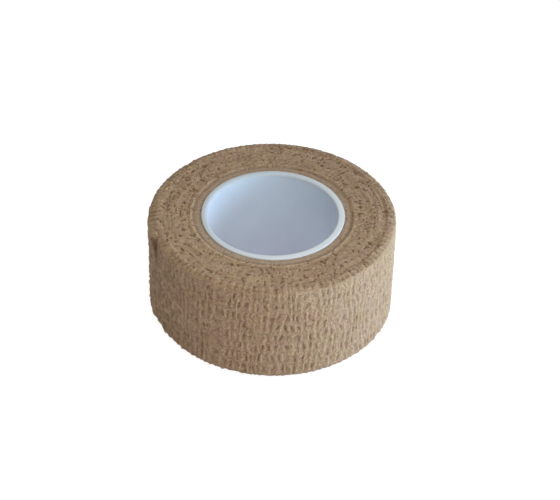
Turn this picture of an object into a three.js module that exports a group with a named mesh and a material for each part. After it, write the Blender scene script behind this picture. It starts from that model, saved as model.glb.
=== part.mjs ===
// Cohesive bandage roll: a strip of crinkled cloth wound round a short plastic tube.
// Millimetres, +Z up. The roll stands on one flat side, with the tube's axis on Z and its foot at z = 0.
import * as THREE from 'three';

// Driving dimensions
const CLOTH_WIDTH = 25;           // width of the bandage, which is the height of the roll
const ROLL_RADIUS = 28.5;         // at the cut end of the outermost turn
const TURN_THICKNESS = 0.7;       // one wound turn: the crinkled cloth and the air in it
const CORE_RADIUS = 16.25;        // outside of the tube
const CORE_WALL = 1.45;
const CORE_EDGE = 0.4;            // rounding of the tube's rims
const WINDING_GAP = 0.3;          // between the tube and the first turn

// Where the cloth ends and how the roll is worn
const CUT_END_ANGLE = 200;        // degrees from +X: the cut end, left of the middle of the front
const FACE_RADIUS = 26;           // the flat side faces end here and the outer edges round off
const TOP_EDGE_DROP = 1.4;        // height of the rounding at the top edge
const FOOT_EDGE_DROP = 1.4;       // height of the rounding at the bottom edge
const FIRST_TURNS_RADIUS = 18.5;  // the first turns, wound tight, stop short of the face
const FIRST_TURNS_DROP = 0.45;
const FIRST_TURNS_RIM = 0.5;      // width of the step up to the face
const BORE_EDGE = 0.4;            // rounding where the first turn meets the tube

// Facets
const TURN_STEPS = 96;            // round the winding
const CORE_STEPS = 72;            // round the tube
const EDGE_STEPS = 4;             // in the rounding of an outer edge
const RIM_STEPS = 3;              // in the rounding of a rim of the tube

const clothMaterial = new THREE.MeshStandardMaterial({ color: 0xb99a78, roughness: 0.95, metalness: 0 });
const plasticMaterial = new THREE.MeshStandardMaterial({ color: 0xe4eaf2, roughness: 0.4, metalness: 0 });

/** Points of a quarter ellipse about (x, y), from one angle to another in degrees, both ends included. */
function arc(x, y, xRadius, yRadius, fromAngle, toAngle, steps) {
  const points = [];
  for (let i = 0; i <= steps; i++) {
    const angle = THREE.MathUtils.degToRad(THREE.MathUtils.lerp(fromAngle, toAngle, i / steps));
    points.push(new THREE.Vector2(x + xRadius * Math.cos(angle), y + yRadius * Math.sin(angle)));
  }
  return points;
}

/** The tube: a turned ring with rounded rims. */
function coreTube() {
  const inner = CORE_RADIUS - CORE_WALL + CORE_EDGE;
  const outer = CORE_RADIUS - CORE_EDGE;
  const foot = CORE_EDGE;
  const head = CLOTH_WIDTH - CORE_EDGE;
  const rim = (x, y, fromAngle) => arc(x, y, CORE_EDGE, CORE_EDGE, fromAngle, fromAngle + 90, RIM_STEPS);
  const outline = [
    ...rim(inner, foot, 180),
    ...rim(outer, foot, 270),
    ...rim(outer, head, 0),
    ...rim(inner, head, 90),
  ];
  outline.push(outline[0].clone());
  const geometry = new THREE.LatheGeometry(outline, CORE_STEPS);
  geometry.rotateX(Math.PI / 2);
  return geometry;
}

/**
 * Outline of the winding at one place round the roll, as points of radius and height.
 * progress runs from 0, just past the cut end, to 1, at the cut end one turn later.
 * The outline goes from the bore along the bottom face, up the outside and back along the top face.
 */
function windingOutline(progress) {
  const angle = THREE.MathUtils.degToRad(CUT_END_ANGLE + 360 * progress);
  const radius = ROLL_RADIUS - TURN_THICKNESS * (1 - progress);
  const edge = radius - FACE_RADIUS;
  const bore = CORE_RADIUS + WINDING_GAP;
  const top = CLOTH_WIDTH;
  const firstTurns = [
    new THREE.Vector2(bore, FIRST_TURNS_DROP + BORE_EDGE),
    new THREE.Vector2(bore + BORE_EDGE, FIRST_TURNS_DROP),
    new THREE.Vector2(FIRST_TURNS_RADIUS, FIRST_TURNS_DROP),
    new THREE.Vector2(FIRST_TURNS_RADIUS + FIRST_TURNS_RIM, 0),
  ];
  const mirrored = firstTurns.map((point) => new THREE.Vector2(point.x, top - point.y)).reverse();
  return {
    points: [
      ...firstTurns,
      ...arc(FACE_RADIUS, FOOT_EDGE_DROP, edge, FOOT_EDGE_DROP, 270, 360, EDGE_STEPS),
      ...arc(FACE_RADIUS, top - TOP_EDGE_DROP, edge, TOP_EDGE_DROP, 0, 90, EDGE_STEPS),
      ...mirrored,
    ],
    angle,
    // The points between these two lie on the outermost turn and move out with it.
    edgeStart: firstTurns.length,
    edgeEnd: firstTurns.length + 2 * EDGE_STEPS + 1,
  };
}

/** The wound bandage: the outline carried once round the axis, closed by the step at the cut end. */
function bandageRoll() {
  const positions = [];
  const indices = [];
  const sections = [];
  for (let step = 0; step <= TURN_STEPS; step++) {
    const { points, angle, edgeStart, edgeEnd } = windingOutline(step / TURN_STEPS);
    const first = sections[0];
    const section = points.map((point, i) => {
      // The last outline shares with the first one every point that the step leaves in place.
      if (step === TURN_STEPS && (i <= edgeStart || i >= edgeEnd)) return first[i];
      positions.push(point.x * Math.cos(angle), point.x * Math.sin(angle), point.y);
      return positions.length / 3 - 1;
    });
    sections.push(section);
  }
  for (let step = 0; step < TURN_STEPS; step++) {
    const near = sections[step];
    const far = sections[step + 1];
    for (let i = 0; i < near.length; i++) {
      const j = (i + 1) % near.length;
      indices.push(near[i], far[i], far[j], near[i], far[j], near[j]);
    }
  }
  const start = sections[0];
  const end = sections[TURN_STEPS];
  for (let i = 0; i + 1 < start.length; i++) {
    if (start[i + 1] !== end[i + 1]) indices.push(start[i], start[i + 1], end[i + 1]);
    if (start[i] !== end[i]) indices.push(start[i], end[i + 1], end[i]);
  }
  const geometry = new THREE.BufferGeometry();
  geometry.setAttribute('position', new THREE.Float32BufferAttribute(positions, 3));
  geometry.setIndex(indices);
  return geometry;
}

const roll = new THREE.Group();

function addPiece(name, geometry, material) {
  const mesh = new THREE.Mesh(geometry, material);
  mesh.name = name;
  roll.add(mesh);
}

addPiece('core_tube', coreTube(), plasticMaterial);
addPiece('bandage_roll', bandageRoll(), clothMaterial);

export default roll;
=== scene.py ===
"""A cohesive bandage roll: tan crinkled cloth wound round a short white plastic tube, on a pale floor."""
import math

import bpy
import numpy as np
from mathutils import Matrix, Vector


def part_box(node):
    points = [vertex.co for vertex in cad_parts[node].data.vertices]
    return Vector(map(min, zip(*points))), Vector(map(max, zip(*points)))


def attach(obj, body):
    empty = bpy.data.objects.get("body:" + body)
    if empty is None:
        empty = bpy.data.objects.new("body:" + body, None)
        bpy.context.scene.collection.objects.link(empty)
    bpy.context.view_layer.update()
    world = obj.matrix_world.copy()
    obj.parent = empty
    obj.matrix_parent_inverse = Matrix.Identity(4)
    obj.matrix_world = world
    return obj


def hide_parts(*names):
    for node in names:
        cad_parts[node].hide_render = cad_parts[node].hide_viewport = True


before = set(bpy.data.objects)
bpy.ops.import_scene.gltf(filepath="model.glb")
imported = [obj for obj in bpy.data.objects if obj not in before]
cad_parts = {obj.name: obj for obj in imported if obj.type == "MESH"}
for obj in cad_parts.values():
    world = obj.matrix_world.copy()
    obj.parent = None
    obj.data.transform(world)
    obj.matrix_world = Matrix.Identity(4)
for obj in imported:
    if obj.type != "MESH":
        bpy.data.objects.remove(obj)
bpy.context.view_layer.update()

MM = 0.001

# Sizes read from the frame, in millimetres
roll_low, roll_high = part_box("bandage_roll")
CLOTH_WIDTH = roll_high.z / MM
CORE_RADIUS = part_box("core_tube")[1].x / MM

# The winding, in millimetres
TURN = 0.7              # room that one turn takes
WEB = 0.665             # thickness of the crinkled cloth inside the roll
WINDING_GAP = 0.3       # between the tube and the first turn
CUT_END_ANGLE = 200.0   # degrees from +X, where the outermost turn is cut
END_RADIUS = -roll_low.x / MM + TURN * (CUT_END_ANGLE - 180) / 360
TURNS = (END_RADIUS - CORE_RADIUS - WINDING_GAP) / TURN
INNER_STEP = 0.19       # between points along the cloth inside the roll
OUTER_STEPS = 1440      # round the outermost turn
TUCKED_STEPS = 9        # of the outermost turn's start, under its own cut end
OUTER_ROWS = 136        # lines of points across the outermost turn

# The rounded outer edges of the roll, in millimetres
FACE_RADIUS = 26.0      # where the flat faces end
EDGE_INSET = END_RADIUS - FACE_RADIUS
EDGE_DROP = 1.4         # how far the rounding runs down or up the side
EDGE_TURNS = EDGE_INSET / TURN
EDGE_SHARE = 0.44       # how much of the rounding the outermost turn's own edge stops short
PACKED = 0.42           # room that one turn takes where the rounded edges squeeze it
STEEPEST = 0.99         # share of the rounding's full rise that the cloth follows

# The photograph's view: degrees, metres and pixels
CAMERA_ELEVATION = 39.2
CAMERA_ROLL = 1.2
CAMERA_DISTANCE = 0.452
IMAGE_WIDTH = 560
IMAGE_HEIGHT = 500
FOCAL_PIXELS = 1965
SENSOR_WIDTH = 36       # of the camera, in millimetres
NEAREST_SEEN = 0.01
ROLL_PIXEL = (272.1, 256.7)  # where the middle of the roll lies in the picture


def aim_camera():
    """Looks down at the middle of the roll as the photograph does."""
    elevation = math.radians(CAMERA_ELEVATION)
    back = Vector((0, -math.cos(elevation), math.sin(elevation)))
    up = Vector((0, math.sin(elevation), math.cos(elevation)))
    data = bpy.data.cameras.new("camera")
    data.sensor_width = SENSOR_WIDTH
    data.lens = FOCAL_PIXELS / IMAGE_WIDTH * SENSOR_WIDTH
    data.shift_x = (IMAGE_WIDTH / 2 - ROLL_PIXEL[0]) / IMAGE_WIDTH
    data.shift_y = (ROLL_PIXEL[1] - IMAGE_HEIGHT / 2) / IMAGE_WIDTH
    data.clip_start = NEAREST_SEEN
    camera = bpy.data.objects.new("camera", data)
    axes = Matrix((Vector((1, 0, 0)), up, back)).transposed()
    middle = Vector((0, 0, CLOTH_WIDTH * MM / 2))
    camera.matrix_world = (
        Matrix.Translation(middle + back * CAMERA_DISTANCE)
        @ axes.to_4x4()
        @ Matrix.Rotation(math.radians(CAMERA_ROLL), 4, "Z")
    )
    bpy.context.scene.collection.objects.link(camera)
    bpy.context.scene.camera = camera


# Soft and uneven shapes

def smooth(x):
    """Rises softly from 0 to 1 as x does."""
    x = np.clip(x, 0, 1)
    return x * x * (3 - 2 * x)


def fade(distance, length):
    """Falls softly from 1 to 0 over a length."""
    return 1 - smooth(distance / length)


def bump(distance, width, power=2):
    """1 in the middle, dying away to both sides; a higher power makes it flatter in the middle."""
    return np.exp(-((distance / width) ** power))


def toward(value, other, share):
    """A value drawn part of the way to another."""
    return value + (other - value) * share


def wander(seed, columns=1024, rows=64):
    """A smooth random height between -1 and 1 over a grid of unit cells."""
    table = np.random.default_rng(seed).uniform(-1, 1, (columns, rows))

    def height(x, y=0.0):
        x, y = np.broadcast_arrays(np.asarray(x, float), np.asarray(y, float))
        column, row = np.floor(x).astype(int), np.floor(y).astype(int)
        right, up = smooth(x - column), smooth(y - row)
        near, far = column % columns, (column + 1) % columns
        low, high = row % rows, (row + 1) % rows
        below = table[near, low] * (1 - right) + table[far, low] * right
        above = table[near, high] * (1 - right) + table[far, high] * right
        return below * (1 - up) + above * up

    return height


def uneven(seed, strength, length, width):
    """Smooth random heights up to a strength, in patches of a length and a width."""
    height = wander(seed)
    return lambda x, y: strength * height(x / length, y / width)


def round_roll(seed, cells):
    """A smooth random height, like wander, with its first place in turns and a number of cells to each."""
    height = wander(seed, cells)
    return lambda turn, y: height(turn * cells, y)


# The crepe, in millimetres: rows of puckers between elastic threads
PUCKER = 1.5            # from one crest to the next, along the cloth
THREAD_ROW = 2.95       # from one elastic thread to the next, across the cloth
FIRST_THREAD = 0.54     # rows between the foot of the cloth and the first thread below it
TOP_ROW = 8             # number of the row at the top edge
THREAD_WIDTH = 0.22     # of the line that a thread draws in
THREAD_BLEND = 0.35     # from a thread to where only one row's puckers show
OUTER_RELIEF = 0.62     # from the deepest pit to the highest crest on the outermost turn

# Heights of the crepe, as shares of that relief
PLAIN = 0.62            # between the pits and the crests
PIT = 0.60              # depth of the deepest pits below that
CREST = 0.34            # height of the highest crests above it
PIT_ENDS = 6            # power that a pit ends with: a higher one ends it more squarely
CREST_SIDES = 1.6       # power that a crest falls off with: a lower one makes it sharper
THREAD_SUNK = 0.08
DENT = 0.6
DENT_START = 0.5        # a dent shows where its unevenness is above this

# Every pucker has its own pit and crest; places and sizes are shares of a pucker and of a row
ROWS = 16
PUCKERS = 2048
chance = np.random.default_rng(14)


def for_each_pucker(low, high):
    return chance.uniform(low, high, (PUCKERS, ROWS))


row_start = np.cumsum(chance.uniform(-0.16, 0.16, ROWS))
pit_depth = for_each_pucker(0.3, 1)
pit_width = for_each_pucker(0.13, 0.23)
pit_length = for_each_pucker(0.18, 0.36)
pit_aside = for_each_pucker(-0.20, 0.20)
pit_lift = for_each_pucker(-0.16, 0.16)
pit_slant = for_each_pucker(-0.25, 0.25)
crest_height = for_each_pucker(0.2, 1)
crest_width = for_each_pucker(0.09, 0.16)

# Unevenness of the crepe: seed, strength, length along the cloth, size across it
rib_bend = uneven(10, 0.75, 4.2, 4)
row_bend = uneven(11, 0.22, 2.7, 1)
row_wiggle = uneven(12, 0.16, 1.2, 1 / 3)
row_knots = uneven(13, 0.16, 0.55, 1)
grain = uneven(15, 0.10, 0.38, 0.42)
fine_grain = uneven(16, 0.14, 0.25, 0.28)
dent = uneven(17, 1, 0.5, 0.7)


def pucker_row(along, in_row, row):
    """Height of one row of puckers, between two elastic threads."""
    across = row + in_row
    place = along / PUCKER + row_start[row % ROWS] + rib_bend(along, across)
    place = place + row_bend(along, row) + row_wiggle(along, across)
    pucker = np.floor(place).astype(int)
    here = (pucker % PUCKERS, row % ROWS)
    from_middle = in_row - 0.5
    aside = place - pucker - 0.5 - pit_aside[here] - pit_slant[here] * from_middle
    past_end = (from_middle - pit_lift[here]) / pit_length[here]
    pit = pit_depth[here] * bump(aside, pit_width[here]) / (1 + past_end**PIT_ENDS)
    ridge = np.round(place).astype(int)
    edge = (ridge % PUCKERS, row % ROWS)
    crest = crest_height[edge] * bump(np.abs(place - ridge), crest_width[edge], CREST_SIDES)
    return PLAIN - PIT * pit + CREST * crest


def middle_of_row(along, row):
    """Height of the puckers halfway across one row."""
    return pucker_row(along, np.full(along.shape, 0.5), np.full(along.shape, row))


def crepe(along, height):
    """Height of the crinkled cloth, from 0 in the deepest pit to 1 on the highest crest."""
    row_place = height / THREAD_ROW + FIRST_THREAD
    row = np.floor(row_place).astype(int)
    in_row = row_place - row
    neighbour = np.where(in_row < 0.5, row - 1, row + 1)
    from_thread = np.minimum(in_row, 1 - in_row) * THREAD_ROW
    own = pucker_row(along, in_row, row)
    beyond = pucker_row(along, row_place - neighbour, neighbour)
    relief = toward(own, beyond, 0.5 * fade(from_thread, THREAD_BLEND))
    knots = row_knots(along, np.round(row_place)) - THREAD_SUNK
    relief = relief + bump(from_thread, THREAD_WIDTH) * knots
    relief = relief - DENT * np.maximum(dent(along, height) - DENT_START, 0)
    return relief + grain(along, height) + fine_grain(along, height)


# Inside the roll the puckers of neighbouring turns nest, so all but the loose ripple go by the angle
nested_fold = round_roll(18, 208)
nested_ripple = round_roll(19, 400)
nested_tuft = round_roll(20, 760)
nested_hole = round_roll(28, 300)
turn_band = round_roll(30, 36)
loose_ripple = uneven(29, 0.5, 0.4, 1.1)
NEST_DEPTH = 2.4        # how far in a fold carries on from turn to turn, in millimetres
NEST_HEIGHT = 2.9       # and how far up


def crimp(back, along, height):
    """Sideways swing of the crinkled web inside the roll, about -1 to 1."""
    swing = nested_fold(-back, turn_radius(back) / NEST_DEPTH + height / NEST_HEIGHT)
    return swing + loose_ripple(along, height)


# Round the tube the first turns stand a little prouder or lower than their neighbours, in millimetres
#   radius, height
FIRST_RINGS = ((17.2, 0.05), (18.05, -0.11), (18.65, 0.12), (19.4, -0.05))
RING_WIDTH = 0.30
RING_WANDER = 0.10      # how far a ring strays inwards and outwards
RING_LINE = 40          # line of turn_band that it strays by
RING_SHARE = 0.7        # of its height that a ring has on average
PROUD_SHARE = 0.3       # how much more or less it has on its proud side and opposite
PROUD_SIDE = math.radians(225)
RING_UNEVEN = 0.35      # and from place to place
RING_PATCH = 1.5


def first_rings(radius, angle):
    """Height of the rings beside the tube."""
    turn = angle / (2 * math.pi)
    radius = radius + RING_WANDER * turn_band(turn, RING_LINE)
    height = sum(rise * bump(radius - ring, RING_WIDTH) for ring, rise in FIRST_RINGS)
    patchy = RING_UNEVEN * nested_fold(turn, radius / RING_PATCH)
    return height * (RING_SHARE + PROUD_SHARE * np.cos(angle - PROUD_SIDE) + patchy)


# The matted cloth edges on the faces of the roll, in millimetres
#   unevenness, shift round in turns, shift inwards, size of a patch inwards, height
FELT = (
    (nested_fold, 0, 30, 1.5, 0.042),
    (nested_ripple, 9 / 400, 0, 0.62, 0.028),
    (nested_tuft, 0, 0, 0.31, 0.028),
    (turn_band, 0, 0, 0.5, 0.05),
)
HOLE_SIZE = 0.5
HOLE_START = 0.47       # a hole shows where its unevenness is above this
HOLE_DEPTH = 0.8
SHALLOW_RADIUS = 25.4   # where the holes begin to grow shallower, going out
SHALLOW_OVER = 1.5      # distance over which they do
SHALLOWER = 0.6         # share of their depth that they lose
CALMEST = 0.3           # share of its height that the felt has beside the tube
CALM_BESIDE_TUBE = 1.2  # how far from the tube that is
ROUGHENS_OVER = 2       # distance from there to where it is full
RIB_RADIUS = 24.2       # where the outermost turn's puckers begin to show on the face
RIBS_GROW_OVER = 2.6
RIB_RISE = 0.20


def felt(radius, angle):
    """Height of the matted cloth edges on a face of the roll, in millimetres."""
    turn = angle / (2 * math.pi)
    rough = sum(
        height * unevenness(turn + round_shift, (radius + inward_shift) / size)
        for unevenness, round_shift, inward_shift, size, height in FELT
    )
    holes = np.maximum(nested_hole(turn, radius / HOLE_SIZE) - HOLE_START, 0)
    holes = holes * (1 - SHALLOWER * smooth((radius - SHALLOW_RADIUS) / SHALLOW_OVER))
    from_calm = radius - CORE_RADIUS - CALM_BESIDE_TUBE
    rough = (rough - HOLE_DEPTH * holes) * toward(CALMEST, 1, smooth(from_calm / ROUGHENS_OVER))
    # the puckers of the outermost turn carry on over the rounded edge and die away inwards
    ribs = middle_of_row(along_cloth((CUT_END_ANGLE / 360 - turn) % 1), TOP_ROW) - PLAIN
    ribs = RIB_RISE * ribs * smooth((radius - RIB_RADIUS) / RIBS_GROW_OVER)
    return rough + first_rings(radius, angle) + ribs


# The winding

def turn_radius(back):
    """Middle of the cloth, that many turns back from the cut end."""
    return END_RADIUS - WEB / 2 - TURN * back


def along_cloth(back):
    """Length of cloth between the cut end and a place that many turns back."""
    return 2 * math.pi * ((END_RADIUS - WEB / 2) * back - TURN * back**2 / 2)


def turns_back(along):
    """The opposite of along_cloth."""
    start = END_RADIUS - WEB / 2
    return (start - np.sqrt(start**2 - TURN * along / math.pi)) / TURN


def cloth_angle(back):
    return math.radians(CUT_END_ANGLE) - 2 * math.pi * back


def squeeze(back, drop):
    """How far a rounded edge pushes a turn inwards, at a distance from the flat face."""
    rise = np.clip(1 - drop / EDGE_DROP, 0, STEEPEST)
    inset = EDGE_INSET * (1 - np.sqrt(1 - rise**2))
    reach = EDGE_TURNS * (1 - np.sqrt(np.clip(drop / (EDGE_SHARE * EDGE_DROP), 0, 1)))
    return np.maximum(inset - TURN * back + PACKED * np.maximum(back - reach, 0), 0)


def lean(back, height):
    """How far both rounded edges push the cloth inwards at a height."""
    return -squeeze(back, CLOTH_WIDTH - height) - squeeze(back, height)


# The edges of the cloth, in millimetres: each turn is a little lower or prouder than the next
FIRST_TURNS = (0.20, 0.14, 0.20, 0.0)  # how far the first turns stop short of the faces
NUMBERED_TURNS = 24
turn_top = np.random.default_rng(21).normal(0, 0.05, NUMBERED_TURNS)
turn_foot = np.random.default_rng(22).normal(0, 0.09, NUMBERED_TURNS)
turn_top[:len(FIRST_TURNS)] = [-drop for drop in FIRST_TURNS]
turn_foot[:len(FIRST_TURNS)] = FIRST_TURNS
FOOT_LIFT = 0.27        # how far the foot of every turn stands off the floor
top_wave = uneven(23, 0.04, 9, 1)
foot_wave = uneven(23, 0.05, 9, 1)
TOP_LINE = 1.5          # lines of that unevenness that the two edges follow
FOOT_LINE = 7.5


def cloth_edges(back):
    """Heights of the foot and the top edge of the cloth."""
    along = along_cloth(back)
    turn = np.clip(TURNS - back + 0.5, 0, NUMBERED_TURNS - 2)
    number = np.floor(turn).astype(int)
    blend = smooth(turn - number)
    own_top = toward(turn_top[number], turn_top[number + 1], blend)
    own_foot = toward(turn_foot[number], turn_foot[number + 1], blend)
    rounding = EDGE_DROP * EDGE_SHARE * np.maximum(1 - back / EDGE_TURNS, 0) ** 2
    top = CLOTH_WIDTH - rounding + own_top + top_wave(along, TOP_LINE)
    foot = rounding + np.maximum(own_foot, 0) + FOOT_LIFT + foot_wave(along, FOOT_LINE)
    return foot, top


# One row of the table for each line of points on the web, from its foot to its top
#   from the foot, from the top, gap to the turn below, crimp, depth of painted shade, share of the felt
SECTION = np.array([
    (0.05, 0.0, -0.02, 0.10, 0.0, -1.0),
    (0.90, 0.0, 0.02, 0.08, 1.0, 0.0),
    (12.5, 0.0, 0.02, 0.05, 1.0, 0.0),
    (0.0, 1.20, 0.02, 0.09, 0.9, 0.0),
    (0.0, 0.35, 0.00, 0.13, 0.5, 0.6),
    (0.0, 0.02, -0.02, 0.15, 0.0, 1.0),
])
FROM_FOOT, FROM_TOP, GAP, CRIMP, SHADE, FELTED = SECTION.T
TOP_CUTS = 4            # lines of points across the top edge of the web
FOOT_CUTS = 3

# The cloth inside the roll, in millimetres
START_WEB = 0.35        # thickness of the cloth where the winding starts
THINNEST_WEB = 0.2
START_CRIMP = 0.3       # share of its crimp that the cloth has where the winding starts
SETTLED = 3             # turns from there to where it is full
GRIP = 0.85             # share of the gap to the tube that the edges of the first turn close


def section_rows(foot, top):
    """Heights of the lines of points on the web."""
    return np.where(FROM_TOP > 0, top[:, None] - FROM_TOP, foot[:, None] + FROM_FOOT)


def inner_turns():
    """Places along the cloth inside the roll, and how far out its outer side is there."""
    first, last = along_cloth(TURNS), along_cloth(1 + TUCKED_STEPS / OUTER_STEPS)
    along = np.linspace(first, last, round((first - last) / INNER_STEP))
    back = turns_back(along)
    rows = section_rows(*cloth_edges(back))
    settled = toward(START_CRIMP, 1, smooth((TURNS - back) / SETTLED))[:, None]
    outside = np.maximum(END_RADIUS - TURN * back, CORE_RADIUS + WINDING_GAP + START_WEB)[:, None]
    outside = outside + CRIMP * settled * crimp(back[:, None], along[:, None], rows)
    return back, outside + lean(back[:, None], rows)


def side_below(back, turns):
    """How far out the inner side of the cloth is, lying on the turn below it."""
    known_back, outside = turns
    below = np.stack([np.interp(-back - 1, -known_back, line) for line in outside.T], axis=1)
    beside_tube = CORE_RADIUS + WINDING_GAP * (1 - GRIP * np.abs(FELTED))
    return np.where(back[:, None] + 1 > TURNS, beside_tube, below + GAP)


# Meshes

LAYER_USED = 0.98       # share of a texture layer that its quads take
SPARE_PLACE = 0.999     # texture place of the end faces
INNER_LAYERS = 5        # texture layers of a piece inside the roll, and of the outermost turn
OUTER_LAYERS = 2


def polar(radius, angle, height):
    return np.stack([radius * np.cos(angle), radius * np.sin(angle), height + 0 * radius], axis=-1)


def add_mesh(name, points, faces):
    mesh = bpy.data.meshes.new(name)
    mesh.from_pydata((points.reshape(-1, 3) * MM).tolist(), [], faces)
    mesh.shade_smooth()
    piece = bpy.data.objects.new(name, mesh)
    bpy.context.scene.collection.objects.link(piece)
    return piece


def quads_between(near, far):
    """Quads between rows of numbered points and the rows beyond them, closed round each row."""
    return np.stack([near, far, np.roll(far, -1, 1), np.roll(near, -1, 1)], axis=-1).reshape(-1, 4)


def lay_out(mesh, steps, count, layers, spare=0):
    """Texture places for a grid of quads, its steps laid side by side in a number of layers."""
    per_layer = math.ceil(steps / layers)
    step = np.arange(steps)[:, None]
    side = np.arange(count)[None, :]
    left = (step % per_layer) / per_layer + np.zeros((1, count))
    right = left + 1 / per_layer
    low = (step // per_layer + side / count * LAYER_USED) / layers
    high = low + LAYER_USED / count / layers
    corners = [(left, low), (right, low), (right, high), (left, high)]
    places = np.stack([np.stack(corner, -1) for corner in corners], axis=2).reshape(-1, 2)
    places = np.concatenate([places, np.full((spare, 2), SPARE_PLACE)])
    bake = mesh.uv_layers.new(name="OFBake")
    bake.data.foreach_set("uv", places.astype(np.float32).reshape(-1))


def strip(name, ring, shade, layers, corners):
    """A closed strip of cloth from points (step, place round the section, 3), with sharp corners."""
    steps, count = ring.shape[:2]
    corner = np.arange(steps * count).reshape(steps, count)
    quads = quads_between(corner[:-1], corner[1:])
    piece = add_mesh(name, ring, quads.tolist() + [corner[0].tolist(), corner[-1][::-1].tolist()])
    mesh = piece.data
    for end in (len(quads), len(quads) + 1):
        mesh.polygons[end].use_smooth = False
    ends = np.zeros(len(mesh.edges) * 2, int)
    mesh.edges.foreach_get("vertices", ends)
    places = ends.reshape(-1, 2) % count
    sharp = (places[:, 0] == places[:, 1]) & np.isin(places[:, 0], corners)
    mesh.attributes.new("sharp_edge", "BOOLEAN", "EDGE").data.foreach_set("value", sharp)
    # the pit attribute carries painted shade, 0 for plain cloth and 1 for full painted shade
    shades = mesh.attributes.new("pit", "FLOAT", "POINT")
    shades.data.foreach_set("value", shade.astype(np.float32).reshape(-1))
    lay_out(mesh, steps - 1, count, layers, 2 * count)
    return piece


def cut_edge(start, end, angle, start_height, end_height, lines):
    """Points across a cut edge, from one side of the web to the other."""
    share = (np.arange(lines) + 1) / (lines + 1)
    radius = toward(start[:, None], end[:, None], share)
    height = toward(start_height[:, None], end_height[:, None], share)
    return polar(radius, angle[:, None], height)


def closed_section(outside, outside_rows, inside, inside_rows, angle):
    """Points round the web: up its outside, over the top edge, down its inside and under the foot."""
    around = angle[:, None]
    return np.concatenate([
        polar(outside, around, outside_rows),
        cut_edge(outside[:, -1], inside[:, -1], angle, outside_rows[:, -1], inside_rows[:, -1], TOP_CUTS),
        polar(inside, around, inside_rows)[:, ::-1],
        cut_edge(inside[:, 0], outside[:, 0], angle, inside_rows[:, 0], outside_rows[:, 0], FOOT_CUTS),
    ], axis=1)


# Shade of the cut edges, partly their own darker tone and partly painted shade, which darkens to 1 over a
# depth in millimetres
# painted shade in the hollows and painted light on raised places, by their depth and height
FELT_SHADE = 0.51
FELT_DEPTH = 0.35
# painted shade and light across the faces, darker towards one side and lighter opposite
FACE_SIDE_SHADE = 0.08
DARKER_SIDE = math.radians(60)  # where the faces are painted darkest: painted shade on this side and painted light opposite
FOOT_SHIFT = 7          # the foot's felt is that of a place so much further out on the top face


def roughen(ring, angle, share):
    """Matts the cut edges and gives their shade, partly painted shade and light: share is 1 on the top
    face and -1 on the foot.
    """
    radius = np.hypot(ring[..., 0], ring[..., 1])
    rough = felt(radius + np.where(share < 0, FOOT_SHIFT, 0), angle[:, None])
    ring[..., 2] += share * rough
    shade = FELT_SHADE + FACE_SIDE_SHADE * np.cos(angle[:, None] - DARKER_SIDE)
    return np.clip(shade - rough / FELT_DEPTH, 0, 1) * np.abs(share)


def wound_piece(name, turns, first, last, layers):
    """A stretch of the cloth inside the roll."""
    back, outside = [part[first:last] for part in turns]
    angle = cloth_angle(back)
    rows = section_rows(*cloth_edges(back))
    rows_below = section_rows(*cloth_edges(back + 1))
    inside = np.minimum(side_below(back, turns), outside - THINNEST_WEB)
    ring = closed_section(outside, rows, inside, rows_below, angle)
    share = np.concatenate([FELTED, np.ones(TOP_CUTS), FELTED[::-1], -np.ones(FOOT_CUTS)])
    edge_shade = roughen(ring, angle, share)
    # painted shade on the sides of the web, where the turns beside it hide them
    side_shade = np.concatenate([SHADE, np.zeros(TOP_CUTS), SHADE[::-1], np.zeros(FOOT_CUTS)])
    lines = len(SECTION)
    corners = [0, lines - 1, lines + TOP_CUTS, 2 * lines + TOP_CUTS - 1]
    return strip(name, ring, np.maximum(side_shade, edge_shade), layers, corners)


# The cut end, in millimetres: its top corner curls over the rounded edge and stands off the roll
END_CURL = 5.0          # length of the edge that runs up over the rounded edge
CURL_DEPTH = 0.8        # how far down the side that edge is calm
CURL_CALM = 0.8         # share of its crinkles that gives way to an even relief
CURL_RELIEF = 0.9
END_RISE = 0.30         # how far that edge stands above the face
RISE_START = 1.25       # where the edge begins to run up, in lengths of the curl from the cut
END_LIFT = 0.30         # how far the top corner stands off the roll
LIFT_LENGTH = 2.4
LIFT_DEPTH = 6
END_PRESSED = 0.62      # how far the cut is pressed in further down
PRESSED_LENGTH = 1.5
PRESSED_FROM = 1.8      # distance from the top edge where this begins
PRESSED_OVER = 4        # and over which it grows
END_ROUNDED = 0.25      # how much the cut itself is rounded
ROUNDED_LENGTH = 0.5
END_SUNK = 0.5          # how far the cut reaches into the crinkles of the turn below
SUNK_LENGTH = 0.8
DIP_PLACE = (0.8, 1.3)  # of the dip at the corner, painted dark as shade, from the cut and from the top edge
DIP_SIZE = (0.55, 0.5)
DIP_DEPTH = 0.2
RAGGED_LENGTH = 0.8     # how far from the ragged cut the cloth shifts sideways with it
slow_shift = uneven(27, 0.18, 1.7, 1)
quick_shift = uneven(27, 0.10, 0.6, 1)
QUICK_LINE = 5          # line of its unevenness that the quick shift follows
GROOVE_SHADE = 0.5      # painted shadow of the soft groove along the cut
GROOVE_WIDTH = 0.6
GROOVE_LENGTH = 13.0    # from the top edge down
GROOVE_FULL = 1.3       # how soon its shade is full, going up from its lower end

# Beside the cut, on both sides of it, the crinkles are matted into soft lumps
END_MATTED = 0.55
MATTED_LENGTH = 15.5
LUMPS_MIDDLE = 0.50     # relief of the lumps
end_lumps = uneven(31, 0.66, 0.75, 0.75)


def curled(along, from_top):
    """1 on the calm thick edge at the top of the cut end, fading away from it."""
    return bump(along, END_CURL, 4) * bump(from_top, CURL_DEPTH)


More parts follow.
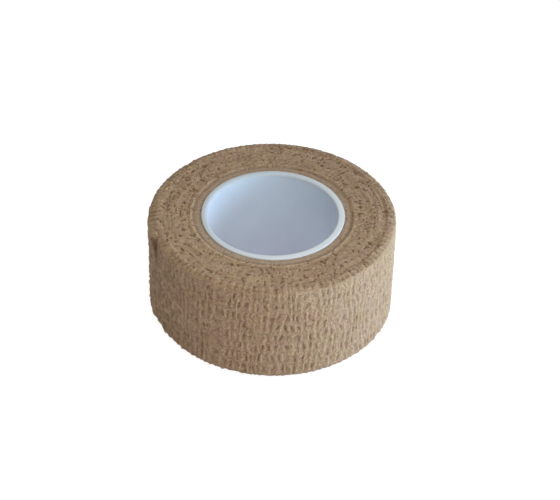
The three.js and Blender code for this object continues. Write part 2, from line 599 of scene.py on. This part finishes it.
def cut_end(along, from_top):
    """What the cut end adds to the outermost turn: height, dip and sideways shift."""
    lift = END_LIFT * np.exp(-along / LIFT_LENGTH) * fade(from_top, LIFT_DEPTH)
    lower = smooth((from_top - PRESSED_FROM) / PRESSED_OVER)
    pressed = END_PRESSED * np.exp(-along / PRESSED_LENGTH) * lower
    dip = bump(along - DIP_PLACE[0], DIP_SIZE[0]) * bump(from_top - DIP_PLACE[1], DIP_SIZE[1])
    shift = slow_shift(from_top, 0) + quick_shift(from_top, QUICK_LINE)
    return lift - pressed - DIP_DEPTH * dip, dip, shift * np.exp(-along / RAGGED_LENGTH)


# The outermost turn, in millimetres
FLATTER = 0.28          # how much flatter the crinkles are where the cloth is stretched most
FLATTER_SIDE = math.radians(330)
FLATTER_FROM = 0.3      # cosine of the angle to that side where this begins
SHOULDER_DEPTH = 2.4    # of the rounded top edge, where the pits are shallower
SHOULDER_CALM = 0.55    # share of them that gives way
SHOULDER_RELIEF = 0.72  # relief that they are filled up to
FOOT_PLAIN = 0.85       # a pit of the lowest row draws the foot up where its relief is below this
FOOT_TEETH = 0.42       # how far a pit draws the foot of the cloth up
FOOT_FLUTES = 0.60      # how deep the side is drawn in there
FLUTE_HEIGHT = 2.2
FOOT_CALM = 1.6         # how much more than the side the foot calms down where the cloth is matted
TOP_GAP = 0.03          # between the edge of the cut end and the face, before it rises
ROWS_CROWDED = 0.35     # how much closer together the lines of points are at the edges
FIRST_LINE = 0.4        # place of the lowest line of points
LINES_LESS = 0.2        # how many lines fewer the width is divided by
THINNEST_OUTER = 0.12

# Painted shade of the outermost turn: 0 is plain cloth and 1 is the painted shade of a deep pit
PIT_SHADE = 0.92
DIP_SHADE = 1.3
FOOT_SHADE = 0.6        # painted shadow at the foot of the side
FOOT_SHADE_DEPTH = 1.4
TOP_SHADE = 0.35        # painted shade at its top edge
TOP_SHADE_DEPTH = 1.8
TOP_FELTED = 0.6        # share of the face's felt that its top edge has
TOP_FELT_DEPTH = 0.7
FOOT_FELT_DEPTH = 0.5


def outer_rows(foot, top):
    """Heights of the lines of points across the outermost turn."""
    share = (np.arange(OUTER_ROWS) + FIRST_LINE) / (OUTER_ROWS - LINES_LESS)
    share = share - ROWS_CROWDED * np.sin(2 * math.pi * share) / (2 * math.pi)
    return toward(foot[:, None], top[:, None], share)


def outer_relief(angle, along, rows, from_top, matted):
    """Height of the crepe on the outermost turn, from about 0 to 1."""
    facing = np.cos(angle - FLATTER_SIDE)
    stretched = FLATTER * smooth((facing - FLATTER_FROM) / (1 - FLATTER_FROM))
    relief = toward(crepe(along, rows), PLAIN, stretched)
    relief = toward(relief, LUMPS_MIDDLE + end_lumps(along, rows), matted)
    shoulder = SHOULDER_CALM * fade(from_top, SHOULDER_DEPTH)
    relief = toward(relief, np.maximum(relief, SHOULDER_RELIEF), shoulder)
    return toward(relief, CURL_RELIEF, CURL_CALM * curled(along, from_top))


def shift_sideways(ring, shift):
    """Moves the outer side of a ring of points round the roll."""
    turned = shift / END_RADIUS
    x, y = ring[:, :OUTER_ROWS, 0], ring[:, :OUTER_ROWS, 1]
    ring[:, :OUTER_ROWS, :2] += np.stack([-y * turned, x * turned], axis=-1)


def outer_shade(relief, rows, from_top, from_cut, dip):
    """Painted shade of the outer side of the outermost turn: its pits, the dip, the groove along the cut,
    the foot and the top edge.
    """
    near_edge = FOOT_SHADE * fade(rows, FOOT_SHADE_DEPTH) + TOP_SHADE * fade(from_top, TOP_SHADE_DEPTH)
    in_groove = smooth(GROOVE_FULL * (1 - from_top / GROOVE_LENGTH))
    groove = GROOVE_SHADE * bump(from_cut, GROOVE_WIDTH) * in_groove
    return np.maximum(np.clip(PIT_SHADE * (1 - relief) + DIP_SHADE * dip + groove, 0, 1), near_edge)


def outer_piece(name, turns, first, last, layers):
    """A stretch of the outermost turn, whose whole outside shows."""
    back = 1 + (TUCKED_STEPS - np.arange(first, last + 1)) / OUTER_STEPS
    angle, along = cloth_angle(back)[:, None], along_cloth(back)[:, None]
    from_cut = np.minimum(along, np.abs(along_cloth(1) - along))
    matted = END_MATTED * bump(from_cut, MATTED_LENGTH, 4)
    teeth = np.clip(FOOT_PLAIN - middle_of_row(along, 0), 0, 1) * (1 - FOOT_CALM * matted)
    foot, top = cloth_edges(back)
    foot = foot + FOOT_TEETH * teeth[:, 0]
    top = toward(top, CLOTH_WIDTH - TOP_GAP, smooth(RISE_START - along[:, 0] / END_CURL))
    rows = outer_rows(foot, top)
    from_top = top[:, None] - rows
    raised, dip, shift = cut_end(along, from_top)
    relief = outer_relief(angle, along, rows, from_top, matted)
    outside = END_RADIUS - TURN * back[:, None] + lean(back[:, None], rows) + raised
    outside = outside - FOOT_FLUTES * teeth * fade(rows, FLUTE_HEIGHT)
    outside = outside - OUTER_RELIEF * (1 - relief) - END_ROUNDED * fade(along, ROUNDED_LENGTH)
    rows_below = section_rows(*cloth_edges(back + 1))
    nearest = np.abs(rows[:, None, :] - rows_below[:, :, None]).argmin(axis=2)
    over = np.take_along_axis(outside, nearest, axis=1)
    sunk = END_SUNK * np.exp(-along / SUNK_LENGTH)
    inside = np.minimum(side_below(back, turns) - sunk, over - THINNEST_OUTER)
    ring = closed_section(outside, rows, inside, rows_below, angle[:, 0])
    edges = TOP_FELTED * fade(from_top, TOP_FELT_DEPTH) - fade(rows - foot[:, None], FOOT_FELT_DEPTH)
    others = np.concatenate([np.ones(TOP_CUTS), FELTED[::-1], -np.ones(FOOT_CUTS)])
    share = np.concatenate([edges, np.broadcast_to(others, (len(back), len(others)))], axis=1)
    shade = roughen(ring, angle[:, 0], share)
    over_top = OUTER_ROWS + TOP_CUTS
    ring[:, :OUTER_ROWS, 2] += END_RISE * curled(along, from_top)
    ring[:, OUTER_ROWS:over_top, 2] += END_RISE * curled(along, 0)
    shift_sideways(ring, shift)
    outer = outer_shade(relief, rows, from_top, from_cut, dip)
    shade[:, :OUTER_ROWS] = np.maximum(shade[:, :OUTER_ROWS], outer)
    return strip(name, ring, shade, layers, [over_top])


def bandage():
    """The cloth: the turns inside the roll in three pieces, and the outermost turn in three."""
    turns = inner_turns()
    total = len(turns[0])
    names = ("first_turns", "middle_turns", "later_turns")
    ends = [round(total * i / len(names)) for i in range(len(names) + 1)]
    pieces = []
    for i, name in enumerate(names):
        pieces.append(wound_piece(name, turns, ends[i], min(ends[i + 1] + 1, total), INNER_LAYERS))
    names = ("outer_turn_start", "outer_turn_middle", "outer_turn_end")
    steps = (OUTER_STEPS + TUCKED_STEPS) // len(names)
    for i, name in enumerate(names):
        pieces.append(outer_piece(name, turns, i * steps, (i + 1) * steps, OUTER_LAYERS))
    return pieces


# The tube, in millimetres: the inner edge of its rim is rounded more at the back on the left
TUBE_WALL = 1.45
RIM_EDGE = 0.16
WORN_EDGE = 0.8
WORN_SIDE = math.radians(135)
CORNER_STEPS = 6
WALL_STEPS = 10
TUBE_STEPS = 288        # round the tube


def tube_outline(inner_edge):
    """Section of the tube with soft edges; the radius of the upper inner edge is given."""
    inner, outer, head = CORE_RADIUS - TUBE_WALL, CORE_RADIUS, CLOTH_WIDTH
    outline = []

    def soft(x, z, start, edge=RIM_EDGE):
        for i in range(CORNER_STEPS + 1):
            turn = math.radians(start + 90 * i / CORNER_STEPS)
            outline.append((x + edge * math.cos(turn), z + edge * math.sin(turn)))

    soft(inner + RIM_EDGE, RIM_EDGE, 180)
    soft(outer - RIM_EDGE, RIM_EDGE, 270)
    for i in range(1, WALL_STEPS):
        outline.append((outer, RIM_EDGE + (head - 2 * RIM_EDGE) * i / WALL_STEPS))
    soft(outer - RIM_EDGE, head - RIM_EDGE, 0)
    soft(inner + inner_edge, head - inner_edge, 90, inner_edge)
    for i in range(WALL_STEPS - 1, 0, -1):
        outline.append((inner, RIM_EDGE + (head - RIM_EDGE - inner_edge) * i / WALL_STEPS))
    return np.array(outline)


def tube():
    """The plastic tube."""
    angle = np.arange(TUBE_STEPS) * 2 * math.pi / TUBE_STEPS
    back_left_share = 0.5 + 0.5 * np.cos(angle - WORN_SIDE)[:, None, None]
    section = toward(tube_outline(RIM_EDGE), tube_outline(WORN_EDGE), back_left_share)
    count = section.shape[1]
    near = np.arange(TUBE_STEPS * count).reshape(TUBE_STEPS, count)
    quads = quads_between(near, np.roll(near, -1, 0))
    points = polar(section[..., 0], angle[:, None], section[..., 1])
    piece = add_mesh("plastic_tube", points, quads.tolist())
    lay_out(piece.data, TUBE_STEPS, count, 1)
    return piece


# Nodes

def feed(tree, socket, value):
    """Gives a socket a number, a colour or vector, or what another node puts out."""
    if isinstance(value, bpy.types.NodeSocket):
        tree.links.new(value, socket)
    elif isinstance(value, tuple):
        socket.default_value = value + (1,) * (len(socket.default_value) - len(value))
    else:
        socket.default_value = value


def add_node(tree, kind, output, inputs, **settings):
    """Adds a node of a kind and gives its output of a name; inputs go by name or number."""
    node = tree.nodes.new(kind)
    for name, setting in settings.items():
        setattr(node, name, setting)
    for name, value in inputs.items():
        feed(tree, node.inputs[name], value)
    return node.outputs[output]


def work_out(tree, operation, *values):
    return add_node(tree, "ShaderNodeMath", "Value", dict(enumerate(values)), operation=operation)


def spread(tree, value, start, end, low, high):
    """A value mapped from one range onto another, and kept within it."""
    ends = {"Value": value, "From Min": start, "From Max": end, "To Min": low, "To Max": high}
    return add_node(tree, "ShaderNodeMapRange", "Result", ends)


def blend_colours(tree, factor, first, second):
    inputs = {"Factor": factor, "A": first, "B": second}
    return add_node(tree, "ShaderNodeMix", "Result", inputs, data_type="RGBA")


def add_bump(tree, height, distance, strength, below=None):
    inputs = {"Height": height, "Distance": distance, "Strength": strength}
    if below:
        inputs["Normal"] = below
    return add_node(tree, "ShaderNodeBump", "Normal", inputs)


# Patterns that more than one material uses

def new_pattern(name, settings):
    """A node group with a place, named settings and one value put out."""
    group = bpy.data.node_groups.new(name, "ShaderNodeTree")
    group.interface.new_socket("Place", in_out="INPUT", socket_type="NodeSocketVector")
    for setting in settings:
        group.interface.new_socket(setting, in_out="INPUT", socket_type="NodeSocketFloat")
    group.interface.new_socket("Value", in_out="OUTPUT", socket_type="NodeSocketFloat")
    given = group.nodes.new("NodeGroupInput").outputs
    result = group.nodes.new("NodeGroupOutput").inputs["Value"]
    return group, given, result


def mottle_group():
    """Soft uneven patches between two values."""
    group, given, result = new_pattern("mottle", ("Scale", "Detail", "Start", "End", "Low", "High"))
    places = {"Vector": given["Place"], "Scale": given["Scale"], "Detail": given["Detail"]}
    noise = add_node(group, "ShaderNodeTexNoise", "Fac", places)
    patches = spread(group, noise, given["Start"], given["End"], given["Low"], given["High"])
    group.links.new(patches, result)
    return group


def curls_group():
    """Thin curling lines, like loose fibres: 1 on a line and 0 beside it."""
    group, given, result = new_pattern("curling fibres", ("Scale", "Curl", "Width"))
    places = {"Vector": given["Place"], "Scale": given["Scale"], "Distortion": given["Curl"], "Detail": 1}
    noise = add_node(group, "ShaderNodeTexNoise", "Fac", places)
    from_line = work_out(group, "ABSOLUTE", work_out(group, "SUBTRACT", noise, 0.5))
    group.links.new(spread(group, from_line, 0, given["Width"], 1, 0), result)
    return group


def pattern(tree, group, place, settings):
    """Places a pattern in a material, with its settings in the order of its sockets."""
    node = tree.nodes.new("ShaderNodeGroup")
    node.node_tree = group
    for socket, value in zip(node.inputs, (place, *settings)):
        feed(tree, socket, value)
    return node.outputs["Value"]


# Soft patches: patches to a metre, detail, from and to which noise, from and to which value
ROSY_PATCHES = (330, 2, 0.45, 0.60, 0, 1)
PALE_PATCHES = (170, 2, 0.40, 0.68, 0, 0.5)
MATTED_LUMPS = (2600, 3, 0.30, 0.70, 0.78, 1.16)
DARK_SPECKS = (1900, 1, 0.62, 0.70, 1.0, 0.66)
DRAWN_LINES = (900, 2, 0.35, 0.65, 0, 1)
GREY_PATCHES = (150, 2, 0.35, 0.65, 0, 1)
UNEVEN_GLOSS = (420, 3, 0.35, 0.65, 0.38, 0.50)
FLOOR_PATCHES = (30, 2, 0.30, 0.70, 0, 1)

# Fibres: fibres to a metre, curl, width
SHORT_FIBRES = (2300, 1.2, 0.045)
LONG_FIBRES = (1500, 2.2, 0.028)
FIBRE_GAIN = 0.3        # how much brighter a fibre is
BETWEEN_FIBRES = 0.95   # brightness of the cloth between the fibres

# Bumps too fine for the meshes: height in metres, strength
LUMP_BUMP = (0.00012, 0.5)
FIBRE_BUMP = (0.00004, 0.8)
LINE_BUMP = (0.00003, 0.25)

CREST_TAN = (0.622, 0.424, 0.241)
ROSY_TAN = (0.629, 0.398, 0.256)
CREAM_TAN = (0.671, 0.475, 0.306)
# painted shade: the brown that the pits, the gaps between turns, the hollows and the foot are painted
# towards
PAINTED_SHADE_BROWN = (0.251, 0.134, 0.067)
# painted shade beside the tube: a greyer brown painted on the first turns next to it
TUBE_SHADE_BROWN = (0.570, 0.429, 0.303)
TUBE_SHADE_SHARE = 0.75      # of the painted shade beside the tube
TUBE_SHADE_FROM = 1.3        # distance from the tube where it begins to fade, in millimetres
TUBE_SHADE_TO = 2.1          # and where it ends


def new_material(name):
    """A material, its nodes, the inputs of its shader and the place on the piece."""
    material = bpy.data.materials.new(name)
    material.use_nodes = True
    tree = material.node_tree
    place = tree.nodes.new("ShaderNodeTexCoord").outputs["Object"]
    return material, tree, tree.nodes["Principled BSDF"].inputs, place


def beside_tube(tree, place):
    """The share of painted shade on the first turns of the cloth, next to the tube."""
    flat = add_node(tree, "ShaderNodeVectorMath", "Vector", {0: place, 1: (1, 1, 0)}, operation="MULTIPLY")
    radius = add_node(tree, "ShaderNodeVectorMath", "Value", {0: flat}, operation="LENGTH")
    start, end = (CORE_RADIUS + TUBE_SHADE_FROM) * MM, (CORE_RADIUS + TUBE_SHADE_TO) * MM
    return spread(tree, radius, start, end, TUBE_SHADE_SHARE, 0)


def cloth_material(mottles, fibres):
    """Matted nonwoven cloth: painted shade in its pits, gaps and hollows and beside the tube, with curling
    fibres over it.
    """
    material, tree, shader, place = new_material("tan cohesive cloth")
    shader["Roughness"].default_value = 0.95
    shader["Specular IOR Level"].default_value = 0.25
    shader["Sheen Weight"].default_value = 0.2
    shader["Sheen Roughness"].default_value = 0.5
    # painted shade from the pieces' pit attribute
    pit = add_node(tree, "ShaderNodeAttribute", "Fac", {}, attribute_name="pit")
    colour = blend_colours(tree, pattern(tree, mottles, place, ROSY_PATCHES), CREST_TAN, ROSY_TAN)
    colour = blend_colours(tree, pattern(tree, mottles, place, PALE_PATCHES), colour, CREAM_TAN)
    colour = blend_colours(tree, beside_tube(tree, place), colour, TUBE_SHADE_BROWN)
    colour = blend_colours(tree, pit, colour, PAINTED_SHADE_BROWN)
    matted = pattern(tree, mottles, place, MATTED_LUMPS)
    specks = pattern(tree, mottles, place, DARK_SPECKS)
    short, long = [pattern(tree, fibres, place, settings) for settings in (SHORT_FIBRES, LONG_FIBRES)]
    lines = work_out(tree, "MAXIMUM", short, long)
    gain = work_out(tree, "ADD", work_out(tree, "MULTIPLY", lines, FIBRE_GAIN), BETWEEN_FIBRES)
    amount = work_out(tree, "MULTIPLY", work_out(tree, "MULTIPLY", matted, specks), gain)
    inputs = {0: colour, "Scale": amount}
    colour = add_node(tree, "ShaderNodeVectorMath", "Vector", inputs, operation="SCALE")
    feed(tree, shader["Base Color"], colour)
    normal = add_bump(tree, matted, *LUMP_BUMP)
    feed(tree, shader["Normal"], add_bump(tree, lines, *FIBRE_BUMP, normal))
    return material


PLASTIC_WHITE = (0.765, 0.830, 0.900)
PLASTIC_GREY = (0.730, 0.795, 0.870)
RIM_WHITE = (0.790, 0.803, 0.815)
RIM_SHADE_GREY = (0.560, 0.590, 0.625)  # painted shade on the cut rims, at the back on the left
RIM_FROM = 0.9          # distance from the tube's ends where the rims' colour begins, in millimetres
RIM_FULL = 0.2          # and where it is full
RIM_SHADE_FULL = 1.6         # radii of the tube back and to the left, where the rims' painted shade would be full
LINE_STRETCH = (1, 1, 0.03)  # draws the patches out into lines up the tube


def plastic_material(mottles):
    """White plastic with faint lines drawn up it, whiter cut rims with painted shade at the back on the
    left, and an uneven gloss.
    """
    material, tree, shader, place = new_material("white plastic")
    colour = blend_colours(tree, pattern(tree, mottles, place, GREY_PATCHES), PLASTIC_WHITE, PLASTIC_GREY)
    split = tree.nodes.new("ShaderNodeSeparateXYZ")
    tree.links.new(place, split.inputs["Vector"])
    x, y, height = split.outputs
    middle = CLOTH_WIDTH * MM / 2
    from_middle = work_out(tree, "ABSOLUTE", work_out(tree, "SUBTRACT", height, middle))
    radius = CORE_RADIUS * MM
    # painted shade on the cut rims grows towards the back on the left
    back_left_share = spread(tree, work_out(tree, "SUBTRACT", y, x), -radius, RIM_SHADE_FULL * radius, 0, 1)
    cut_colour = blend_colours(tree, back_left_share, RIM_WHITE, RIM_SHADE_GREY)
    rim = spread(tree, from_middle, middle - RIM_FROM * MM, middle - RIM_FULL * MM, 0, 1)
    feed(tree, shader["Base Color"], blend_colours(tree, rim, colour, cut_colour))
    feed(tree, shader["Roughness"], pattern(tree, mottles, place, UNEVEN_GLOSS))
    stretch = add_node(tree, "ShaderNodeMapping", "Vector", {"Vector": place, "Scale": LINE_STRETCH})
    lines = pattern(tree, mottles, stretch, DRAWN_LINES)
    feed(tree, shader["Normal"], add_bump(tree, lines, *LINE_BUMP))
    return material


# The studio: the floor and the wall look brighter to the camera than they light the roll
FLOOR_SIDE = 3000.0     # half its side, in millimetres
FLOOR_GREY = 0.9
FLOOR_DIMMER = 0.98     # share of that in its darker patches
FLOOR_GLOW = (0.087, 0.026, 0.060)  # light that the bright table throws back onto the roll
FLOOR_SEEN = 0.90       # brightness and share of shadow in the picture only
FLOOR_SHADED = 0.25
ROOM_GLOW = (0.005, 0.005, 0.005)
OVERHEAD_GLOW = (0.790, 0.825, 0.770)
OVERHEAD_FROM = 0.55    # sine of the height where the overhead light begins
OVERHEAD_FULL = 0.65    # and where it is full
WALL_SEEN = (1, 1, 1)

# Soft lamps; azimuth 0 is the camera's side and 90 is to the right
#   name, azimuth and elevation in degrees, distance and size in metres, power in watts, colour
LAMPS = (
    ("front_lamp", 29, 35, 0.2, 0.15, 0.110, (0.88, 0.950, 1.0)),
    ("blue_side_lamp", 82, 3, 0.2, 0.20, 0.60, (0.39, 0.715, 0.955)),
    ("right_window", 105, 9, 0.8, 0.9, 4.2, (0.810, 0.755, 1.0)),
)


def seen_by_camera(tree):
    return tree.nodes.new("ShaderNodeLightPath").outputs["Is Camera Ray"]


def floor(mottles):
    """A wide pale table."""
    side = FLOOR_SIDE
    corners = np.array([(-side, -side, 0), (side, -side, 0), (side, side, 0), (-side, side, 0)])
    piece = add_mesh("floor", corners, [(0, 1, 2, 3)])
    material, tree, shader, place = new_material("pale floor")
    shader["Roughness"].default_value = 0.8
    shade = pattern(tree, mottles, place, FLOOR_PATCHES)
    lit = blend_colours(tree, shade, (FLOOR_GREY * FLOOR_DIMMER,) * 3, (FLOOR_GREY,) * 3)
    seen = seen_by_camera(tree)
    feed(tree, shader["Base Color"], blend_colours(tree, seen, lit, (FLOOR_SHADED,) * 3))
    feed(tree, shader["Emission Color"], blend_colours(tree, seen, FLOOR_GLOW, (FLOOR_SEEN,) * 3))
    shader["Emission Strength"].default_value = 1
    piece.data.materials.append(material)


def sky():
    """A dim room with a broad soft light straight overhead."""
    world = bpy.data.worlds.new("studio")
    bpy.context.scene.world = world
    world.use_nodes = True
    tree = world.node_tree
    direction = tree.nodes.new("ShaderNodeTexCoord").outputs["Generated"]
    height = add_node(tree, "ShaderNodeSeparateXYZ", "Z", {"Vector": direction})
    overhead = spread(tree, height, OVERHEAD_FROM, OVERHEAD_FULL, 0, 1)
    glow = blend_colours(tree, overhead, ROOM_GLOW, OVERHEAD_GLOW)
    glow = blend_colours(tree, seen_by_camera(tree), glow, WALL_SEEN)
    feed(tree, tree.nodes["Background"].inputs["Color"], glow)


def add_lamp(name, azimuth, elevation, distance, size, power, colour):
    turn, rise = math.radians(azimuth), math.radians(elevation)
    away = Vector((math.sin(turn) * math.cos(rise), -math.cos(turn) * math.cos(rise), math.sin(rise)))
    data = bpy.data.lights.new(name, "AREA")
    data.shape = "DISK"
    data.size = size
    data.energy = power
    data.color = colour
    light = bpy.data.objects.new(name, data)
    light.location = away * distance
    light.rotation_mode = "QUATERNION"
    light.rotation_quaternion = away.to_track_quat("Z", "Y")
    light.visible_camera = False
    bpy.context.scene.collection.objects.link(light)


aim_camera()
pieces = bandage()
mottles = mottle_group()
cloth = cloth_material(mottles, curls_group())
for piece in pieces:
    piece.data.materials.append(cloth)
    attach(piece, "root")
    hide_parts("bandage_roll")
core = tube()
core.data.materials.append(plastic_material(mottles))
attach(core, "root")
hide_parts("core_tube")
floor(mottles)
sky()
for lamp in LAMPS:
    add_lamp(*lamp)
bpy.context.scene.view_settings.view_transform = "Standard"
